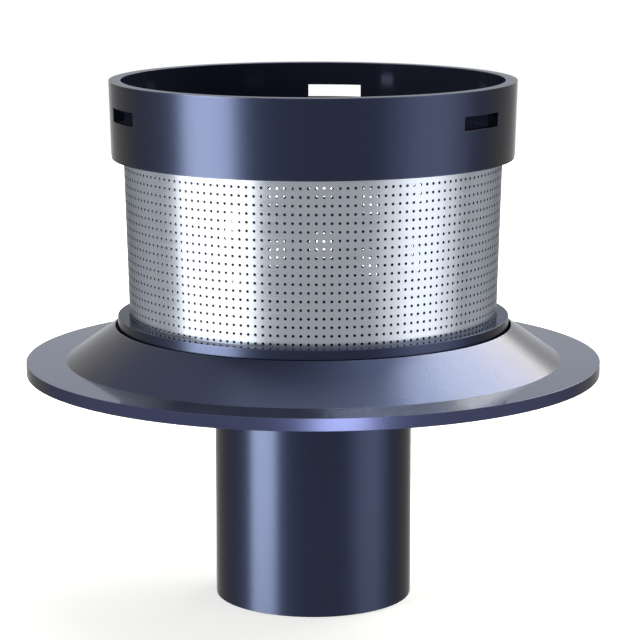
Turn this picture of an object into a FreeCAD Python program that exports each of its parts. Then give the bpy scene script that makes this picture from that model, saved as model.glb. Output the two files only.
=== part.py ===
# Vacuum cleaner screen filter: a perforated steel screen between a collar and a seat ring,
# standing on a flared skirt and a flanged centre tube.
# Millimetres, +Z up, axis on Z, the tube's open end at z = 0, one latch window at +Y.
import FreeCAD, Part
import math
import os

# Heights stacked along the axis
tube_exposed_length = 43.5
brim_thickness = 2.3
cone_height = 6.5
ring_proud = 1.8
screen_exposed_height = 29.75
collar_height = 14.35

# Top collar: outer wall drafted inwards towards its foot, straight bore, latch windows
collar_bore_radius = 35.7
collar_bore_depth = 9.8
collar_wall = 2.2
collar_draft = 0.4
collar_lip_width = 1.4
window_count = 3
window_width = 10.7
window_height = 2.5
window_drop = 4.4

# Filter screen: perforated sheet rolled to a slight cone, in narrow flats
screen_inset = 0.4
screen_taper = 0.8
sheet_thickness = 0.4
screen_insert_depth = 2.4
insert_clearance = 0.05

# Perforation: one hole for each block of the sheet's 0.5 mm holes, with their open area
hole_columns = 36
hole_rows = 6
hole_sides = 6
hole_across_flats = 1.8
flats_per_column = 2

# Seat ring round the foot of the screen
ring_wall = 2.2
ring_toe_width = 1.45
ring_height = 3.6

# Skirt: cone and brim in one shell, with a bore and a ledge that the ring drops into
brim_radius = 54.0
cone_foot_radius = 46.5
skirt_wall = 2.0
skirt_bore_gap = 0.5
ledge_thickness = 1.6
ledge_width = 3.65

# Centre tube: straight dust tube hung from a flange on the ledge of the skirt
tube_outer_radius = 18.6
tube_wall = 2.0
flange_thickness = 1.5

# Levels
brim_underside = tube_exposed_length
brim_top = brim_underside + brim_thickness
skirt_top = brim_top + cone_height
ring_top = skirt_top + ring_proud
flange_top = ring_top - ring_height
ledge_top = flange_top - flange_thickness
ledge_underside = ledge_top - ledge_thickness
collar_bottom = ring_top + screen_exposed_height
collar_top = collar_bottom + collar_height
collar_shoulder = collar_top - collar_bore_depth
screen_bottom = ring_top - screen_insert_depth
screen_top = collar_bottom + screen_insert_depth

# Radii that follow from the collar's bore and the walls round it
collar_top_radius = collar_bore_radius + collar_wall
collar_foot_radius = collar_top_radius - collar_draft
screen_top_radius = collar_bore_radius - screen_inset
screen_foot_radius = screen_top_radius - screen_taper
ring_rebate_radius = screen_foot_radius + insert_clearance
ring_outer_radius = ring_rebate_radius + ring_wall
ring_inner_radius = ring_rebate_radius - ring_toe_width
skirt_bore_radius = ring_outer_radius + skirt_bore_gap
ledge_inner_radius = skirt_bore_radius - ledge_width

AXIS = FreeCAD.Vector(0, 0, 1)
ORIGIN = FreeCAD.Vector(0, 0, 0)


def screen_radius(height):
    """Outer radius of the conical screen at a height."""
    share = (height - ring_top) / screen_exposed_height
    return screen_foot_radius + share * (screen_top_radius - screen_foot_radius)


def closed(points):
    """Closed wire through the points."""
    return Part.makePolygon(points + points[:1])


def turned(outline):
    """Solid of revolution about Z from a closed outline of (radius, height) points."""
    points = [FreeCAD.Vector(radius, 0, height) for radius, height in outline]
    return Part.Face(closed(points)).revolve(ORIGIN, AXIS, 360)


def around_axis(shape, count):
    """Copies of a shape spread evenly about Z, the first where the shape is."""
    copies = []
    for index in range(count):
        copy = shape.copy()
        copy.rotate(ORIGIN, AXIS, 360 / count * index)
        copies.append(copy)
    return copies


def top_collar():
    """Ring with a bore for the cyclone body, a lip over the screen and latch windows."""
    rebate = screen_radius(screen_top) + insert_clearance
    collar = turned([
        (rebate, collar_bottom),
        (collar_foot_radius, collar_bottom),
        (collar_top_radius, collar_top),
        (collar_bore_radius, collar_top),
        (collar_bore_radius, collar_shoulder),
        (rebate - collar_lip_width, collar_shoulder),
        (rebate - collar_lip_width, screen_top),
        (rebate, screen_top),
    ])
    window_bottom = collar_top - window_drop - window_height
    window = Part.makeBox(window_width, collar_top_radius, window_height,
                          FreeCAD.Vector(-window_width / 2, 0, window_bottom))
    return collar.cut(Part.makeCompound(around_axis(window, window_count)))


def screen_flat(half_angle, hole_heights):
    """Faces of one flat of the screen, facing +X, pierced at each of the heights."""

    def point(inset, across, height):
        """Point of the flat, on its outer skin or set in from it."""
        out = (screen_radius(height) - inset) * math.cos(half_angle)
        return FreeCAD.Vector(out, across, height)

    def corner(inset, side, height):
        """Point on the fold at either side of the flat."""
        across = (screen_radius(height) - inset) * math.sin(half_angle)
        return point(inset, side * across, height)

    def rim(inset, height):
        """Corners of a hole about a height."""
        reach = hole_across_flats / 2 / math.cos(math.pi / hole_sides)
        turns = [2 * math.pi * index / hole_sides for index in range(hole_sides)]
        return [point(inset, reach * math.sin(turn), height + reach * math.cos(turn))
                for turn in turns]

    faces = []
    for inset in (0, sheet_thickness):
        outline = closed([corner(inset, -1, screen_bottom), corner(inset, 1, screen_bottom),
                          corner(inset, 1, screen_top), corner(inset, -1, screen_top)])
        holes = [closed(rim(inset, height)) for height in hole_heights]
        faces.append(Part.Face([outline] + holes))
    for height in (screen_bottom, screen_top):
        edge = closed([corner(0, -1, height), corner(0, 1, height),
                       corner(sheet_thickness, 1, height), corner(sheet_thickness, -1, height)])
        faces.append(Part.Face(edge))
    for height in hole_heights:
        outer = rim(0, height)
        inner = rim(sheet_thickness, height)
        for index in range(hole_sides):
            wall = closed([outer[index - 1], outer[index], inner[index], inner[index - 1]])
            faces.append(Part.Face(wall))
    return Part.makeCompound(faces)


def filter_screen():
    """Sheet closed up from flats: each column of holes on its own, plain ones between."""
    flats = hole_columns * flats_per_column
    row_pitch = screen_exposed_height / hole_rows
    heights = [ring_top + row_pitch * (row + 0.5) for row in range(hole_rows)]
    pierced = screen_flat(math.pi / flats, heights)
    plain = screen_flat(math.pi / flats, [])
    faces = []
    for index, (with_holes, without) in enumerate(zip(around_axis(pierced, flats),
                                                      around_axis(plain, flats))):
        faces += (without if index % flats_per_column else with_holes).Faces
    shell = Part.makeShell(faces)
    shell.sewShape()
    return Part.makeSolid(shell)


def seat_ring():
    """Ring with a rebate that the foot of the screen stands in."""
    return turned([
        (ring_inner_radius, flange_top),
        (ring_outer_radius, flange_top),
        (ring_outer_radius, ring_top),
        (ring_rebate_radius, ring_top),
        (ring_rebate_radius, screen_bottom),
        (ring_inner_radius, screen_bottom),
    ])


def skirt():
    """Cone and brim as one shell, with a bore and a ledge inside the top of the cone."""
    run = (cone_foot_radius - skirt_bore_radius) / cone_height
    inside_foot = cone_foot_radius + run * brim_thickness - skirt_wall * math.hypot(1, run)
    inside_head = inside_foot - run * (ledge_underside - brim_underside)
    return turned([
        (ledge_inner_radius, ledge_underside),
        (inside_head, ledge_underside),
        (inside_foot, brim_underside),
        (brim_radius, brim_underside),
        (brim_radius, brim_top),
        (cone_foot_radius, brim_top),
        (skirt_bore_radius, skirt_top),
        (skirt_bore_radius, ledge_top),
        (ledge_inner_radius, ledge_top),
    ])


def centre_tube():
    """Dust tube open at both ends, with a flange that the seat ring stands on."""
    bore = tube_outer_radius - tube_wall
    return turned([
        (bore, 0),
        (tube_outer_radius, 0),
        (tube_outer_radius, ledge_top),
        (ring_outer_radius, ledge_top),
        (ring_outer_radius, flange_top),
        (bore, flange_top),
    ])


NODES = {
    "top_collar": top_collar,
    "filter_screen": filter_screen,
    "seat_ring": seat_ring,
    "skirt": skirt,
    "centre_tube": centre_tube,
}

os.makedirs("parts", exist_ok=True)
for node, make in NODES.items():
    make().exportStep("parts/" + node + ".step")
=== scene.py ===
# Screen filter of a cyclone vacuum cleaner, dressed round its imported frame.
# Metres, +Z up, axis on Z, the tube's open end on the floor, one latch window at +Y.
import math

import bmesh
import bpy
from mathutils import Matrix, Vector


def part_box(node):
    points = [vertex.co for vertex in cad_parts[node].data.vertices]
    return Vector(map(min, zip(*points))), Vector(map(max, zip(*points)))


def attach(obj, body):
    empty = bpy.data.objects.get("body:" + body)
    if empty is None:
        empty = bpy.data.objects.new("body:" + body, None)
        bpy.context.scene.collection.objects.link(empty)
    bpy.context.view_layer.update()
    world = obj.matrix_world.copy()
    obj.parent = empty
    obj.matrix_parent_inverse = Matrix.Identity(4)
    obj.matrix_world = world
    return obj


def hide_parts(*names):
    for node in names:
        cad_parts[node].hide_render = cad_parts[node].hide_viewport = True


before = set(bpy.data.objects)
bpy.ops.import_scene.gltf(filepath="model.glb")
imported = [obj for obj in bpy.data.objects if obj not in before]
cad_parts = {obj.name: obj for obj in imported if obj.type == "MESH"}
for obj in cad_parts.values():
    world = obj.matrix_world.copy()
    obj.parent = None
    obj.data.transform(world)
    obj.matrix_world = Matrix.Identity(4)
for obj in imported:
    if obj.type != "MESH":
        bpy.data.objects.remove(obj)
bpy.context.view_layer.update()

MM = 0.001
TOUCH = 1e-6
SEGMENTS = 240

# Levels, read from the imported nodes
flange_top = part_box("centre_tube")[1].z
ring_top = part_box("seat_ring")[1].z
brim_underside, skirt_top = (corner.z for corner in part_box("skirt"))
screen_bottom, screen_top = (corner.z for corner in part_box("filter_screen"))
collar_bottom, collar_top = (corner.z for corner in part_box("top_collar"))

# Radii and walls
collar_foot_radius = 37.5 * MM
collar_top_radius = 37.9 * MM
collar_bore_radius = 35.7 * MM
collar_lip_radius = 34.01 * MM
collar_bore_depth = 9.8 * MM
collar_bore_draft = 0.27 * MM
collar_rebate_gap = 0.11 * MM
window_width = 10.7 * MM
window_height = 2.5 * MM
window_drop = 4.4 * MM
window_turns = (0, 120, 240)
screen_radius_low = 34.5 * MM
screen_radius_high = 35.3 * MM
sheet_thickness = 0.36 * MM
ring_outer_radius = 36.75 * MM
ring_inner_radius = 33.1 * MM
ring_rebate_gap = 0.05 * MM
brim_radius = 54.0 * MM
brim_thickness = 2.3 * MM
cone_foot_radius = 46.5 * MM
skirt_bore_radius = 37.25 * MM
skirt_wall = 2.0 * MM
ledge_radius = 33.6 * MM
ledge_thickness = 1.6 * MM
tube_radius = 18.6 * MM
tube_bore_radius = 16.6 * MM
flange_thickness = 1.5 * MM

# Levels that follow from the walls
brim_top = brim_underside + brim_thickness
ledge_top = flange_top - flange_thickness
ledge_under = ledge_top - ledge_thickness
window_top = collar_top - window_drop
window_bottom = window_top - window_height

# Punched holes of the sheet
hole_columns = 160
hole_rows = 19
hole_radius = 0.275 * MM
hole_sides = 12
row_pitch = 1.541 * MM
first_row = 54.57 * MM
column_phase = math.radians(0.88)

# Rounded edges, and the angles that count as an edge or as one smooth face
edge_break = 0.08 * MM
tube_edge_break = 0.1 * MM
edge_angle = math.radians(25)
smooth_angle = math.radians(46)
sheet_smooth_angle = math.radians(40)


def only(piece):
    """Select one object and make it the active one."""
    bpy.ops.object.select_all(action="DESELECT")
    piece.select_set(True)
    bpy.context.view_layer.objects.active = piece


def edit(piece, kind="FACE"):
    """Open a piece in edit mode with nothing picked."""
    only(piece)
    bpy.ops.object.mode_set(mode="EDIT")
    bpy.ops.mesh.select_mode(type=kind)
    bpy.ops.mesh.select_all(action="DESELECT")


def done():
    """Leave edit mode."""
    bpy.ops.object.mode_set(mode="OBJECT")


def pick_faces(piece, wanted):
    """Pick the faces whose middle passes a test."""
    bpy.ops.mesh.select_all(action="DESELECT")
    mesh = bmesh.from_edit_mesh(piece.data)
    for face in mesh.faces:
        face.select_set(wanted(face))
    bmesh.update_edit_mesh(piece.data)


def pick_edges(piece, wanted):
    """Pick the edges that pass a test."""
    bpy.ops.mesh.select_all(action="DESELECT")
    mesh = bmesh.from_edit_mesh(piece.data)
    for edge in mesh.edges:
        edge.select_set(wanted(edge))
    bmesh.update_edit_mesh(piece.data)


def apply(piece, kind, **settings):
    """Add a modifier with its settings and apply it."""
    only(piece)
    modifier = piece.modifiers.new(kind.title(), kind)
    for name, value in settings.items():
        setattr(modifier, name, value)
    bpy.ops.object.modifier_apply(modifier=modifier.name)


def round_blank(name, radius, low, high):
    """Solid round bar, the start of every turned piece."""
    bpy.ops.object.select_all(action="DESELECT")
    bpy.ops.mesh.primitive_cylinder_add(vertices=SEGMENTS, radius=radius, depth=high - low,
                                        location=(0, 0, (low + high) / 2))
    blank = bpy.context.object
    blank.name = name
    bpy.ops.object.transform_apply(location=True)
    return blank


def work_end(piece, radius, level, steps):
    """Work the flat end at a level through each next radius and level, then open it."""
    edit(piece)
    pick_faces(piece, lambda face: len(face.verts) == SEGMENTS
               and abs(face.calc_center_median().z - level) < TOUCH)
    for next_radius, next_level in steps:
        bpy.ops.mesh.extrude_region_move(
            TRANSFORM_OT_translate={"value": (0, 0, next_level - level)})
        share = next_radius / radius
        bpy.ops.transform.resize(value=(share, share, 1), center_override=(0, 0, 0))
        radius, level = next_radius, next_level
    bpy.ops.mesh.delete(type="ONLY_FACE")
    done()


def join_ends(piece):
    """Close the bore where the two worked ends meet."""
    edit(piece, "VERT")
    bpy.ops.mesh.select_all(action="SELECT")
    bpy.ops.mesh.remove_doubles(threshold=TOUCH)
    done()


def soften(piece, width=edge_break):
    """Break the sharp edges and shade the flats flat."""
    apply(piece, "BEVEL", width=width, segments=2, limit_method="ANGLE",
          angle_limit=edge_angle, use_clamp_overlap=False)
    only(piece)
    bpy.ops.object.shade_smooth_by_angle(angle=smooth_angle)
    apply(piece, "WEIGHTED_NORMAL", mode="FACE_AREA", keep_sharp=True)


def cut_window(piece, turn):
    """Open one latch window through the thin wall of the collar."""
    out = Vector((-math.sin(turn), math.cos(turn), 0))
    across = Vector((math.cos(turn), math.sin(turn), 0))
    reach = window_width / 2 + 6 * MM
    above_rebate = collar_bottom + 3 * MM
    outside_lip = 35 * MM

    def wall(face):
        """Both skins of the thin wall near the window."""
        middle = face.calc_center_median()
        return (middle.dot(out) > 0 and abs(middle.dot(across)) < reach
                and abs(face.normal.z) < 0.5 and middle.to_2d().length > outside_lip
                and middle.z > above_rebate)

    def band(face):
        """Their part at the window's height."""
        return wall(face) and window_bottom < face.calc_center_median().z < window_top

    def opening(face):
        """Their part inside the window."""
        return band(face) and abs(face.calc_center_median().dot(across)) < window_width / 2

    edit(piece)
    for level in (window_bottom, window_top):
        pick_faces(piece, wall)
        bpy.ops.mesh.bisect(plane_co=(0, 0, level), plane_no=(0, 0, 1))
    for side in (-1, 1):
        pick_faces(piece, band)
        bpy.ops.mesh.bisect(plane_co=across * (side * window_width / 2), plane_no=across)
    pick_faces(piece, opening)
    bpy.ops.mesh.delete(type="FACE")
    bpy.ops.mesh.select_mode(type="EDGE")
    pick_edges(piece, lambda edge: edge.is_boundary)
    bpy.ops.mesh.bridge_edge_loops()
    done()


def make_collar():
    """Top collar: drafted wall, bore with a shoulder, rebate for the screen, windows."""
    rebate = screen_radius_high + collar_rebate_gap
    shoulder = collar_top - collar_bore_depth
    collar = round_blank("collar", collar_foot_radius, collar_bottom, collar_top)
    edit(collar)
    pick_faces(collar, lambda face: abs(face.calc_center_median().z - collar_top) < TOUCH)
    share = collar_top_radius / collar_foot_radius
    bpy.ops.transform.resize(value=(share, share, 1), center_override=(0, 0, 0))
    done()
    work_end(collar, collar_top_radius, collar_top,
             [(collar_bore_radius, collar_top),
              (collar_bore_radius - collar_bore_draft, shoulder),
              (collar_lip_radius, shoulder), (collar_lip_radius, screen_top)])
    work_end(collar, collar_foot_radius, collar_bottom,
             [(rebate, collar_bottom), (rebate, screen_top), (collar_lip_radius, screen_top)])
    join_ends(collar)
    for turn in window_turns:
        cut_window(collar, math.radians(turn))
    soften(collar)
    return collar


def make_ring():
    """Seat ring with the rebate that the foot of the screen stands in."""
    rebate = screen_radius_low + ring_rebate_gap
    ring = round_blank("seat", ring_outer_radius, flange_top, ring_top)
    work_end(ring, ring_outer_radius, ring_top,
             [(rebate, ring_top), (rebate, screen_bottom),
              (ring_inner_radius, screen_bottom), (ring_inner_radius, flange_top)])
    work_end(ring, ring_outer_radius, flange_top, [(ring_inner_radius, flange_top)])
    join_ends(ring)
    soften(ring)
    return ring


def make_skirt():
    """Skirt: cone and brim in one thin shell, with the ledge that carries the ring."""
    run = (cone_foot_radius - skirt_bore_radius) / (skirt_top - brim_top)
    inside_foot = cone_foot_radius + run * brim_thickness - skirt_wall * math.hypot(1, run)
    inside_head = inside_foot - run * (ledge_under - brim_underside)
    skirt = round_blank("flared_skirt", brim_radius, brim_underside, brim_top)
    work_end(skirt, brim_radius, brim_top,
             [(cone_foot_radius, brim_top), (skirt_bore_radius, skirt_top),
              (skirt_bore_radius, ledge_top), (ledge_radius, ledge_top),
              (ledge_radius, ledge_under)])
    work_end(skirt, brim_radius, brim_underside,
             [(inside_foot, brim_underside), (inside_head, ledge_under),
              (ledge_radius, ledge_under)])
    join_ends(skirt)
    soften(skirt)
    return skirt


def make_tube():
    """Centre tube with the flange that the seat ring stands on."""
    tube = round_blank("tube", tube_radius, 0, ledge_top)
    work_end(tube, tube_radius, ledge_top,
             [(ring_outer_radius, ledge_top), (ring_outer_radius, flange_top),
              (tube_bore_radius, flange_top), (tube_bore_radius, 0)])
    work_end(tube, tube_radius, 0, [(tube_bore_radius, 0)])
    join_ends(tube)
    soften(tube, tube_edge_break)
    return tube


def make_screen():
    """Screen: a flat sheet punched hole by hole, then rolled to a slight cone."""
    middle_radius = (screen_radius_low + screen_radius_high) / 2
    middle_level = (screen_bottom + screen_top) / 2
    column_pitch = 2 * math.pi * middle_radius / hole_columns
    first_hole = (column_phase * middle_radius - hole_columns // 2 * column_pitch, 0,
                  first_row - middle_level)
    upright = (math.pi / 2, 0, 0)
    bpy.ops.object.select_all(action="DESELECT")
    bpy.ops.mesh.primitive_plane_add(size=1, rotation=upright, location=first_hole)
    screen = bpy.context.object
    screen.name = "punched_screen"
    bpy.ops.object.transform_apply(location=True, rotation=True)
    bpy.ops.object.mode_set(mode="EDIT")
    bpy.ops.mesh.select_all(action="SELECT")
    bpy.ops.transform.resize(value=(column_pitch, 1, row_pitch), center_override=first_hole)
    bpy.ops.mesh.delete(type="ONLY_FACE")
    bpy.ops.mesh.primitive_circle_add(vertices=hole_sides, radius=hole_radius,
                                      rotation=upright, location=first_hole)
    bpy.ops.mesh.select_all(action="SELECT")
    bpy.ops.mesh.bridge_edge_loops()
    bpy.ops.mesh.normals_make_consistent(inside=False)
    done()
    for count, step in ((hole_columns, (column_pitch, 0, 0)), (hole_rows, (0, 0, row_pitch))):
        apply(screen, "ARRAY", count=count, use_relative_offset=False,
              use_constant_offset=True, constant_offset_displace=step,
              use_merge_vertices=True, merge_threshold=TOUCH)
    edit(screen, "EDGE")
    low = first_hole[2] - row_pitch / 2
    high = low + row_pitch * hole_rows
    half_height = (screen_top - screen_bottom) / 2
    for level, end in ((low, -half_height), (high, half_height)):
        pick_edges(screen, lambda edge: all(abs(vert.co.z - level) < TOUCH
                                            for vert in edge.verts))
        bpy.ops.mesh.extrude_region_move(TRANSFORM_OT_translate={"value": (0, 0, end - level)})
    bpy.ops.mesh.select_all(action="SELECT")
    bpy.ops.mesh.normals_make_consistent(inside=False)
    done()
    apply(screen, "SIMPLE_DEFORM", deform_method="BEND", deform_axis="Z",
          angle=2 * math.pi)
    edit(screen, "VERT")
    bpy.ops.mesh.select_all(action="SELECT")
    bpy.ops.transform.translate(value=(0, -middle_radius, 0))
    bpy.ops.mesh.remove_doubles(threshold=2 * TOUCH)
    bpy.ops.mesh.normals_make_consistent(inside=False)
    done()
    slope = (screen_radius_high - screen_radius_low) / (collar_bottom - ring_top)
    apply(screen, "SIMPLE_DEFORM", deform_method="TAPER", deform_axis="Z",
          factor=slope * 2 * half_height / middle_radius)
    apply(screen, "SOLIDIFY", thickness=sheet_thickness, offset=-1)
    edit(screen, "VERT")
    bpy.ops.mesh.select_all(action="SELECT")
    bpy.ops.transform.translate(value=(0, 0, middle_level))
    done()
    only(screen)
    bpy.ops.object.shade_smooth_by_angle(angle=sheet_smooth_angle)
    return screen


# Studio: the camera of the reference view, and the point that the lamps are aimed at
camera_turn = math.radians(6.75)
camera_distance = 475.37 * MM
camera_height = 141.23 * MM
camera_pitch = math.radians(10.558)
camera_yaw = math.radians(0.1544)
camera_lens = 144.05
camera_sensor = 36
aim = Vector((0, 0, 60 * MM))

# Studio: levels of the white world in what is mirrored and in what it lights
world_mirrored = 0.78
world_lighting = 0.35

# Studio: floor, which glows less under the object, out to where it is plain white
floor_radius = 0.7
floor_glow = 0.5
shade_radius = 0.1
white_radius = 0.4

# Studio: grey surround, lightest in front, with a white sweep behind. The sweep's ends are
# degrees from straight behind, the greys' ends are cosines of that angle.
surround_radius = 12
surround_floor = -0.4
surround_top = 1.7
front_grey = 0.44
side_grey = 0.38
front_end = -0.2
side_end = 0.5
sweep_inner = 3
sweep_outer = 36


def direction(turn, lift):
    """Unit vector from the object, turn counted from the camera to its right, in degrees."""
    turn = camera_turn + math.radians(turn)
    lift = math.radians(lift)
    return Vector((math.sin(turn) * math.cos(lift), -math.cos(turn) * math.cos(lift),
                   math.sin(lift)))


def place_camera():
    """Camera of the reference view."""
    data = bpy.data.cameras.new("camera")
    data.lens = camera_lens
    data.sensor_width = camera_sensor
    camera = bpy.data.objects.new("camera", data)
    bpy.context.scene.collection.objects.link(camera)
    camera.location = direction(0, 0) * camera_distance + Vector((0, 0, camera_height))
    camera.rotation_euler = (math.pi / 2 - camera_pitch, 0, camera_turn - camera_yaw)
    bpy.context.scene.camera = camera


def soft_box(name, turn, lift, wide, tall, radiance, tint=(1, 1, 1), distance=1.2, pieces=(),
             blockers=()):
    """Soft box as wide and tall in degrees as the object sees it, on all or some pieces.

    With blockers, only those pieces keep its light off the others.
    """
    size = [2 * distance * math.tan(math.radians(span) / 2) for span in (wide, tall)]
    data = bpy.data.lights.new(name, "AREA")
    data.shape = "RECTANGLE"
    data.size, data.size_y = size
    data.energy = radiance * math.pi * size[0] * size[1]
    data.color = tint
    lamp = bpy.data.objects.new(name, data)
    bpy.context.scene.collection.objects.link(lamp)
    away = direction(turn, lift)
    lamp.location = aim + away * distance
    lamp.rotation_euler = away.to_track_quat("Z", "Y").to_euler()
    lamp.visible_camera = False
    if pieces:
        lit = bpy.data.collections.new(name)
        for piece in pieces:
            lit.objects.link(piece)
        lamp.light_linking.receiver_collection = lit
    if blockers:
        shading = bpy.data.collections.new(name + "_blockers")
        for piece in blockers:
            shading.objects.link(piece)
        lamp.light_linking.blocker_collection = shading


def new_material(name):
    """New material and its empty node tree."""
    material = bpy.data.materials.new(name)
    material.use_nodes = True
    material.node_tree.nodes.clear()
    return material, material.node_tree


def add(tree, kind, inputs=None, **settings):
    """Add a node, set it, and link or set its inputs by name or place."""
    node = tree.nodes.new(kind)
    for name, value in settings.items():
        setattr(node, name, value)
    for key, value in (inputs or {}).items():
        if isinstance(value, bpy.types.NodeSocket):
            tree.links.new(value, node.inputs[key])
        else:
            node.inputs[key].default_value = value
    return node


def seen_level(tree, seen, glossy, rest):
    """One level for camera and transmission rays, one for glossy rays, one for the rest."""
    path = add(tree, "ShaderNodeLightPath")
    straight = add(tree, "ShaderNodeMath", {0: path.outputs["Is Camera Ray"],
                                            1: path.outputs["Is Transmission Ray"]},
                   operation="MAXIMUM")
    mirrored = add(tree, "ShaderNodeMapRange", {"Value": path.outputs["Is Glossy Ray"],
                                                "To Min": rest, "To Max": glossy})
    return add(tree, "ShaderNodeMapRange", {"Value": straight.outputs[0],
                                            "To Min": mirrored.outputs[0],
                                            "To Max": seen}).outputs[0]


def make_world():
    """White surround, at a lower level where it lights the floor."""
    world = bpy.data.worlds.new("studio")
    bpy.context.scene.world = world
    world.use_nodes = True
    tree = world.node_tree
    tree.nodes.clear()
    white = add(tree, "ShaderNodeBackground",
                {"Color": (1, 1, 1, 1),
                 "Strength": seen_level(tree, 1.0, world_mirrored, world_lighting)})
    add(tree, "ShaderNodeOutputWorld", {"Surface": white.outputs[0]})
    world.cycles.sampling_method = "NONE"


def make_floor():
    """Pale floor that keeps the object's shadow and runs out into the white background."""
    bpy.ops.object.select_all(action="DESELECT")
    bpy.ops.mesh.primitive_circle_add(vertices=96, radius=floor_radius,
                                      fill_type="NGON")
    floor = bpy.context.object
    floor.name = "floor"
    material, tree = new_material("pale_floor")
    place = add(tree, "ShaderNodeTexCoord")
    reach = add(tree, "ShaderNodeVectorMath", {0: place.outputs["Object"]}, operation="LENGTH")
    white = add(tree, "ShaderNodeMapRange",
                {"Value": reach.outputs["Value"], "From Min": shade_radius,
                 "From Max": white_radius, "To Min": floor_glow, "To Max": 1.0},
                interpolation_type="SMOOTHSTEP")
    strength = add(tree, "ShaderNodeMath", {0: seen_level(tree, 1.0, 1.0, 0.0),
                                            1: white.outputs[0]}, operation="MULTIPLY")
    surface = add(tree, "ShaderNodeBsdfPrincipled",
                  {"Base Color": (0.8, 0.8, 0.8, 1), "Roughness": 0.9,
                   "Specular IOR Level": 0.1, "Emission Color": (1, 1, 1, 1),
                   "Emission Strength": strength.outputs[0]})
    add(tree, "ShaderNodeOutputMaterial", {"Surface": surface.outputs[0]})
    floor.data.materials.append(material)
    floor.visible_glossy = False
    floor.visible_shadow = False
    return floor


def make_surround():
    """Grey ground and low wall that only the metal sees, with a white sweep at the back."""
    depth = surround_top - surround_floor
    bpy.ops.object.select_all(action="DESELECT")
    bpy.ops.mesh.primitive_cylinder_add(vertices=96, radius=surround_radius, depth=depth,
                                        location=(0, 0, surround_floor + depth / 2))
    surround = bpy.context.object
    surround.name = "surround"
    bpy.ops.object.transform_apply(location=True)
    edit(surround)
    pick_faces(surround, lambda face: face.normal.z > 0.9)
    bpy.ops.mesh.delete(type="FACE")
    done()
    material, tree = new_material("grey_surround")
    place = add(tree, "ShaderNodeTexCoord")
    flat = add(tree, "ShaderNodeVectorMath", {0: place.outputs["Object"], 1: (1, 1, 0)},
               operation="MULTIPLY")
    away = add(tree, "ShaderNodeVectorMath", {0: flat.outputs[0]}, operation="NORMALIZE")
    behind = add(tree, "ShaderNodeVectorMath", {0: away.outputs[0], 1: direction(180, 0)},
                 operation="DOT_PRODUCT")
    grey = add(tree, "ShaderNodeMapRange",
               {"Value": behind.outputs["Value"], "From Min": front_end,
                "From Max": side_end, "To Min": front_grey, "To Max": side_grey})
    angle = add(tree, "ShaderNodeMath", {0: behind.outputs["Value"]}, operation="ARCCOSINE")
    level = add(tree, "ShaderNodeMapRange",
                {"Value": angle.outputs[0], "From Min": math.radians(sweep_inner),
                 "From Max": math.radians(sweep_outer), "To Min": 1.0,
                 "To Max": grey.outputs[0]}, interpolation_type="SMOOTHSTEP")
    glow = add(tree, "ShaderNodeEmission", {"Color": (1, 1, 1, 1),
                                            "Strength": level.outputs[0]})
    add(tree, "ShaderNodeOutputMaterial", {"Surface": glow.outputs[0]})
    material.cycles.emission_sampling = "NONE"
    surround.data.materials.append(material)
    surround.visible_camera = False
    surround.visible_diffuse = False
    surround.visible_shadow = False
    surround.visible_transmission = False


def new_group(name, inputs, outputs):
    """Empty node group with named sockets: its tree, its input sockets, its output node."""
    tree = bpy.data.node_groups.new(name, "ShaderNodeTree")
    for label, kind in inputs:
        tree.interface.new_socket(label, in_out="INPUT", socket_type="NodeSocket" + kind)
    for label, kind in outputs:
        tree.interface.new_socket(label, in_out="OUTPUT", socket_type="NodeSocket" + kind)
    return tree, tree.nodes.new("NodeGroupInput").outputs, tree.nodes.new("NodeGroupOutput")


def give(tree, output, **results):
    """Link the results of a group to its named outputs."""
    for label, socket in results.items():
        tree.links.new(socket, output.inputs[label])


def turned_place_group():
    """Radius and height of a point, and how far its face looks outwards."""
    tree, given, output = new_group("turned_place", (("Point", "Vector"), ("Normal", "Vector")),
                                    (("Radius", "Float"), ("Height", "Float"),
                                     ("Outward", "Float")))
    flat = add(tree, "ShaderNodeVectorMath", {0: given["Point"], 1: (1, 1, 0)},
               operation="MULTIPLY")
    radius = add(tree, "ShaderNodeVectorMath", {0: flat.outputs[0]}, operation="LENGTH")
    away = add(tree, "ShaderNodeVectorMath", {0: flat.outputs[0]}, operation="NORMALIZE")
    outward = add(tree, "ShaderNodeVectorMath", {0: away.outputs[0], 1: given["Normal"]},
                  operation="DOT_PRODUCT")
    height = add(tree, "ShaderNodeSeparateXYZ", {0: given["Point"]})
    give(tree, output, Radius=radius.outputs["Value"], Height=height.outputs["Z"],
         Outward=outward.outputs["Value"])
    return tree


def make_painted_edge_highlight():
    """Mask round one turned edge, where a brighter colour is painted as a highlight: 1 on the
    edge.
    """
    tree, given, output = new_group("painted_edge_highlight",
                                    (("Radius", "Float"), ("Height", "Float"),
                                     ("Edge Radius", "Float"), ("Edge Height", "Float"),
                                     ("Reach", "Float")), (("Mask", "Float"),))
    point = add(tree, "ShaderNodeCombineXYZ", {0: given["Radius"], 1: given["Height"]})
    edge = add(tree, "ShaderNodeCombineXYZ", {0: given["Edge Radius"],
                                              1: given["Edge Height"]})
    gap = add(tree, "ShaderNodeVectorMath", {0: point.outputs[0], 1: edge.outputs[0]},
              operation="DISTANCE")
    mask = add(tree, "ShaderNodeMapRange", {"Value": gap.outputs["Value"],
                                            "From Max": given["Reach"], "To Min": 1.0,
                                            "To Max": 0.0}, interpolation_type="SMOOTHSTEP")
    give(tree, output, Mask=mask.outputs[0])
    return tree


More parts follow.
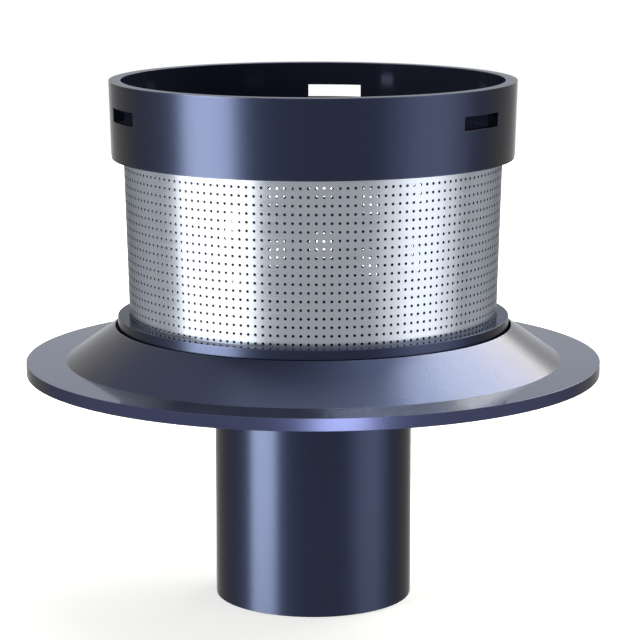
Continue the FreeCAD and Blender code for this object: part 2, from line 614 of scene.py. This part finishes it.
def grain_group():
    """Fine grain and broad patches of a finish, both from 0 to 1, and their height."""
    tree, given, output = new_group("finish_grain",
                                    (("Point", "Vector"), ("Grain Scale", "Float"),
                                     ("Patch Scale", "Float"), ("Grain Height", "Float")),
                                    (("Grain", "Float"), ("Patch", "Float"),
                                     ("Height", "Float")))
    grain = add(tree, "ShaderNodeTexNoise", {"Vector": given["Point"],
                                             "Scale": given["Grain Scale"], "Detail": 1.0})
    patch = add(tree, "ShaderNodeTexNoise", {"Vector": given["Point"],
                                             "Scale": given["Patch Scale"], "Detail": 3.0})
    height = add(tree, "ShaderNodeMath", {0: grain.outputs[0], 1: given["Grain Height"],
                                          2: patch.outputs[0]}, operation="MULTIPLY_ADD")
    give(tree, output, Grain=grain.outputs[0], Patch=patch.outputs[0],
         Height=height.outputs[0])
    return tree


def blend_colours(tree, factor, first, second):
    """Colour between two, by a mask."""
    return add(tree, "ShaderNodeMix", {0: factor, 6: first, 7: second},
               data_type="RGBA").outputs[2]


def scaled(tree, value, low, high, bottom=0.0, top=1.0):
    """Value taken from one range to another, held at its ends."""
    return add(tree, "ShaderNodeMapRange", {"Value": value, "From Min": bottom,
                                            "From Max": top, "To Min": low,
                                            "To Max": high}).outputs[0]


# Lacquer: roughness and depth of grain of its two finishes, its clear coat, the painted
# highlight on its edges
satin_roughness = 0.28
polished_roughness = 0.09
satin_grain = 0.002 * MM
polished_grain = 0.001 * MM
coat_roughness = 0.24
coat_index = 1.35
edge_reach = 0.35 * MM
# colour painted along the turned edges as a highlight
edge_highlight_colour = (0.07, 0.085, 0.15, 1)


def lacquer(name, edges, tones, grazing=(0, 0, 0, 1), metallic=None, clear=0.5):
    """Metallic navy lacquer of two tones, with a painted highlight on its turned edges.

    It is flake under a clear coat, or one polished layer where its share of metal is given.
    grazing tints what the metal mirrors at a low angle, and clear is the level of what the
    rest mirrors.
    """
    satin = metallic is None
    material, tree = new_material(name)
    place = add(tree, "ShaderNodeTexCoord")
    spot = add(tree, "ShaderNodeGroup", {"Point": place.outputs["Object"],
                                         "Normal": place.outputs["Normal"]},
               node_tree=turned_place)
    grain = add(tree, "ShaderNodeGroup", {"Point": place.outputs["Object"],
                                          "Grain Scale": 7000, "Patch Scale": 260,
                                          "Grain Height": 0.12}, node_tree=finish_grain)
    highlight_mask = None
    for radius, height in edges:
        mask = add(tree, "ShaderNodeGroup", {"Radius": spot.outputs["Radius"],
                                             "Height": spot.outputs["Height"],
                                             "Edge Radius": radius, "Edge Height": height,
                                             "Reach": edge_reach},
                   node_tree=painted_edge_highlight).outputs["Mask"]
        highlight_mask = mask if highlight_mask is None else add(
            tree, "ShaderNodeMath", {0: highlight_mask, 1: mask}, operation="MAXIMUM").outputs[0]
    flake = blend_colours(tree, grain.outputs["Grain"], *tones)
    # painted highlight: a brighter colour laid in patches along the turned edges
    patchy = scaled(tree, grain.outputs["Patch"], 0.1, 0.5, 0.35, 0.65)
    highlight_share = add(tree, "ShaderNodeMath", {0: highlight_mask, 1: patchy}, operation="MULTIPLY").outputs[0]
    colour = blend_colours(tree, highlight_share, flake, edge_highlight_colour)
    middle = satin_roughness if satin else polished_roughness
    roughness = scaled(tree, grain.outputs["Patch"], middle * 0.97, middle * 1.03, 0.3, 0.7)
    bump = add(tree, "ShaderNodeBump", {"Height": grain.outputs["Height"], "Strength": 1.0,
                                        "Distance": satin_grain if satin else polished_grain})
    surface = add(tree, "ShaderNodeBsdfPrincipled",
                  {"Base Color": colour, "Metallic": 1.0 if satin else metallic,
                   "Roughness": roughness, "Specular Tint": grazing,
                   "Specular IOR Level": clear,
                   "Coat Weight": 1.0 if satin else 0.0, "Coat Roughness": coat_roughness,
                   "Coat IOR": coat_index, "Normal": bump.outputs[0],
                   "Coat Normal": bump.outputs[0]})
    add(tree, "ShaderNodeOutputMaterial", {"Surface": surface.outputs[0]})
    return material


def window_wall_painted_shade():
    """Painted shade: a near-black matte colour for the walls that the latch windows are cut
    through.
    """
    material, tree = new_material("window_wall_painted_shade")
    place = add(tree, "ShaderNodeTexCoord")
    grain = add(tree, "ShaderNodeGroup", {"Point": place.outputs["Object"],
                                          "Grain Scale": 3000, "Patch Scale": 400,
                                          "Grain Height": 0.4}, node_tree=finish_grain)
    # painted shade in the windows' recess, in two near-black tones
    colour = blend_colours(tree, grain.outputs["Patch"], (0.003, 0.0035, 0.006, 1),
                           (0.007, 0.008, 0.012, 1))
    bump = add(tree, "ShaderNodeBump", {"Height": grain.outputs["Height"], "Strength": 1.0,
                                        "Distance": 0.01 * MM})
    surface = add(tree, "ShaderNodeBsdfPrincipled",
                  {"Base Color": colour, "Roughness": 0.6, "Specular IOR Level": 0.0,
                   "Normal": bump.outputs[0]})
    add(tree, "ShaderNodeOutputMaterial", {"Surface": surface.outputs[0]})
    return material


def rolled_steel():
    """Stainless sheet: fine rolling lines outside; inside and in the holes a painted shade,
    much darker, and a rougher finish.
    """
    material, tree = new_material("rolled_steel")
    place = add(tree, "ShaderNodeTexCoord")
    spot = add(tree, "ShaderNodeGroup", {"Point": place.outputs["Object"],
                                         "Normal": place.outputs["Normal"]},
               node_tree=turned_place)
    lines = add(tree, "ShaderNodeMapping", {"Vector": place.outputs["Object"],
                                            "Scale": (1, 1, 9)})
    grain = add(tree, "ShaderNodeGroup", {"Point": lines.outputs[0], "Grain Scale": 900,
                                          "Patch Scale": 120, "Grain Height": 0.5},
                node_tree=finish_grain)
    outside = scaled(tree, spot.outputs["Outward"], 0.0, 1.0, 0.3, 0.8)
    bright = blend_colours(tree, grain.outputs["Grain"], (0.59, 0.635, 0.71, 1),
                           (0.64, 0.685, 0.76, 1))
    # painted shade: faces that look inward, and the walls of the holes, take a much darker
    # colour
    colour = blend_colours(tree, outside, (0.065, 0.072, 0.085, 1), bright)
    smooth = scaled(tree, grain.outputs["Patch"], 0.22, 0.28, 0.3, 0.7)
    roughness = add(tree, "ShaderNodeMix", {0: outside, 2: 0.5, 3: smooth}).outputs[0]
    bump = add(tree, "ShaderNodeBump", {"Height": grain.outputs["Height"], "Strength": 1.0,
                                        "Distance": 0.002 * MM})
    surface = add(tree, "ShaderNodeBsdfPrincipled",
                  {"Base Color": colour, "Metallic": 1.0, "Roughness": roughness,
                   "Specular Tint": (0.35, 0.35, 0.35, 1), "Normal": bump.outputs[0]})
    add(tree, "ShaderNodeOutputMaterial", {"Surface": surface.outputs[0]})
    return material


def dress(piece, finishes, kind=None):
    """Give a piece its finishes; kind(face) names the one for each face."""
    piece.data.materials.clear()
    for finish in finishes:
        piece.data.materials.append(finish)
    for face in piece.data.polygons:
        face.material_index = kind(face) if kind else 0


def level_kind(face):
    """1 for a face that looks straight up."""
    return int(face.normal.z > 0.95)


def skirt_kind(face):
    """1 for the flat top of the brim, 2 for the brim's wall, which gets painted light."""
    if face.center.to_2d().length > brim_radius - 0.2 * MM and abs(face.normal.z) < 0.6:
        return 2
    return level_kind(face)


def collar_kind(face):
    """1 for the collar's top rim, 2 for its bore, 3 for the walls of its windows; 2 and 3 get
    painted shade.
    """
    radius = face.center.to_2d().length
    outward = face.normal.to_2d().dot(face.center.to_2d()) / radius
    inside_wall = collar_bore_radius + 0.3 * MM < radius < collar_foot_radius - 0.2 * MM
    at_window = window_bottom - 0.1 * MM < face.center.z < window_top + 0.1 * MM
    if inside_wall and at_window and abs(outward) < 0.6:
        return 3
    return 2 if outward < -0.6 else level_kind(face)


place_camera()
make_world()
floor = make_floor()
make_surround()
turned_place = turned_place_group()
painted_edge_highlight = make_painted_edge_highlight()
finish_grain = grain_group()

# Turned edges of each piece that get a painted highlight, as radius and height
collar_edges = [(collar_top_radius, collar_top), (collar_bore_radius, collar_top),
                (collar_foot_radius, collar_bottom)]
ring_edges = [(ring_outer_radius, ring_top)]
skirt_edges = [(brim_radius, brim_top), (brim_radius, brim_underside),
               (skirt_bore_radius, skirt_top)]
tube_edges = [(tube_radius, 0)]

# Darker and lighter tone of the lacquers
under_coat = ((0.019, 0.029, 0.071, 1), (0.023, 0.035, 0.089, 1))
polished = ((0.038, 0.050, 0.105, 1), (0.048, 0.062, 0.128, 1))
skirt_coat = ((0.020, 0.029, 0.066, 1), (0.024, 0.035, 0.082, 1))
# painted shade: a much darker, less mirroring copy of the lacquer for the collar's bore
bore_painted_shade = ((0.011, 0.013, 0.027, 1), (0.014, 0.017, 0.034, 1))
# painted light: a much lighter copy of the lacquer for the brim's upright wall, for the light
# it catches
brim_wall_painted_light = ((0.070, 0.084, 0.19, 1), (0.086, 0.102, 0.23, 1))

collar = make_collar()
screen = make_screen()
ring = make_ring()
skirt = make_skirt()
tube = make_tube()
dress(collar, [lacquer("collar_satin", collar_edges, under_coat),
               lacquer("collar_rim", collar_edges, polished, metallic=0.75, clear=0.0,
                       grazing=(0.31, 0.33, 0.37, 1)),
               # the bore's finish is painted shade
               lacquer("collar_bore", collar_edges, bore_painted_shade, metallic=0.3, clear=0.1,
                       grazing=(0.3, 0.33, 0.4, 1)),
               window_wall_painted_shade()], collar_kind)
dress(screen, [rolled_steel()])
dress(ring, [lacquer("ring_satin", ring_edges, under_coat),
             lacquer("ring_gloss", ring_edges, polished, metallic=0.75,
                     grazing=(0.37, 0.39, 0.42, 1))], level_kind)
dress(skirt, [lacquer("skirt_satin", skirt_edges, skirt_coat,
                      grazing=(0.12, 0.15, 0.24, 1)),
              lacquer("skirt_gloss", skirt_edges, polished, metallic=0.75,
                      grazing=(0.86, 0.89, 0.95, 1)),
              # the brim's wall is painted light
              lacquer("brim_painted_light", skirt_edges, brim_wall_painted_light)], skirt_kind)
dress(tube, [lacquer("tube_satin", tube_edges, under_coat)])

# Lamps: turn, lift, width and height in degrees, then radiance and tint. The stripes on the
# upright walls come first, then those of the sheet and the brim, then those behind and above.
upright = (collar, ring, tube, floor)
beside_skirt = upright + (screen,)
behind = dict(turn=139, lift=43.5, wide=44, tall=49, radiance=6.2, tint=(1, 0.98, 0.92))
behind_core = dict(turn=137, lift=44, wide=30, tall=26, radiance=2.6, tint=(1, 0.93, 0.5),
                   distance=1.1)
soft_box("key", -60, -4, 32.5, 78, 7.5, (1, 0.98, 0.86), pieces=upright)
soft_box("fill", 68.6, -4, 54, 78, 0.5, pieces=beside_skirt)
soft_box("fill_core", 68.6, -4, 29, 78, 0.56, distance=1.1, pieces=beside_skirt)
soft_box("sheet_key", -61, 2, 54, 66, 1.75, pieces=(screen,))
soft_box("sheet_left", -131, 2, 42, 66, 0.12, distance=1.3, pieces=(screen,))
soft_box("sheet_right", 131, 2, 42, 66, 0.13, distance=1.3, pieces=(screen,))
soft_box("sheet_side", 70, 55, 78, 26, 8.0, pieces=(screen,))
soft_box("brim_strip", 10.8, -6, 20.6, 40, 5.1, pieces=(skirt,))
soft_box("back", pieces=beside_skirt, **behind)
soft_box("cone_back", pieces=(skirt,), blockers=(skirt,), **behind)
soft_box("back_core", pieces=beside_skirt, **behind_core)
soft_box("cone_core", pieces=(skirt,), blockers=(skirt,), **behind_core)
soft_box("top", 120, 82, 44, 40, 1.5, pieces=beside_skirt)
soft_box("cone_top", 120, 82, 44, 40, 1.1, pieces=(skirt,), blockers=(skirt,))

for piece, node, slot in ((collar, "top_collar", "collar_navy"),
                          (screen, "filter_screen", "screen_steel"),
                          (ring, "seat_ring", "ring_navy"),
                          (skirt, "skirt", "skirt_navy"),
                          (tube, "centre_tube", "tube_navy")):
    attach(piece, "root")
    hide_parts(node)

bpy.context.scene.view_settings.view_transform = "Standard"
